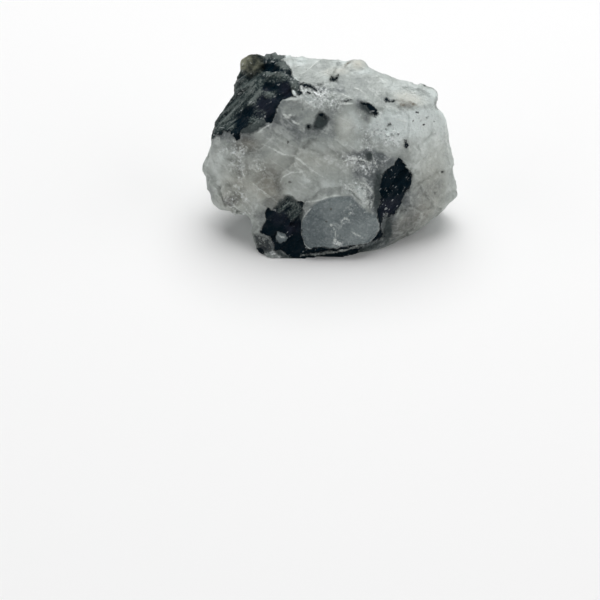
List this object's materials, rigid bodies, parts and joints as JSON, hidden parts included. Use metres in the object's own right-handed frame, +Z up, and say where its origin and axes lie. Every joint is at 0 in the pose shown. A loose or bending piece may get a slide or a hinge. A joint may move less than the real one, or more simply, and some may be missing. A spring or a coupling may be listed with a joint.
{
  "type": "rough rock",
  "caption": "Rough broken chunk of milky grey-white feldspar with black tourmaline grown through it, resting on a flat cleavage face.",
  "frame": {"origin": "middle of the ground rectangle under the stone, on the plane of the face it rests on", "axes": "+Z up, +X to the right along the stone's longest side, -Y towards the viewer, who sees the broad grey front and the black mass at its top left"},
  "size_m": [0.0504, 0.0294, 0.0364],
  "materials": {
    "stone": null
  },
  "bodies": {
    "root": {"rock": "stone"}
  },
  "joints": []
}
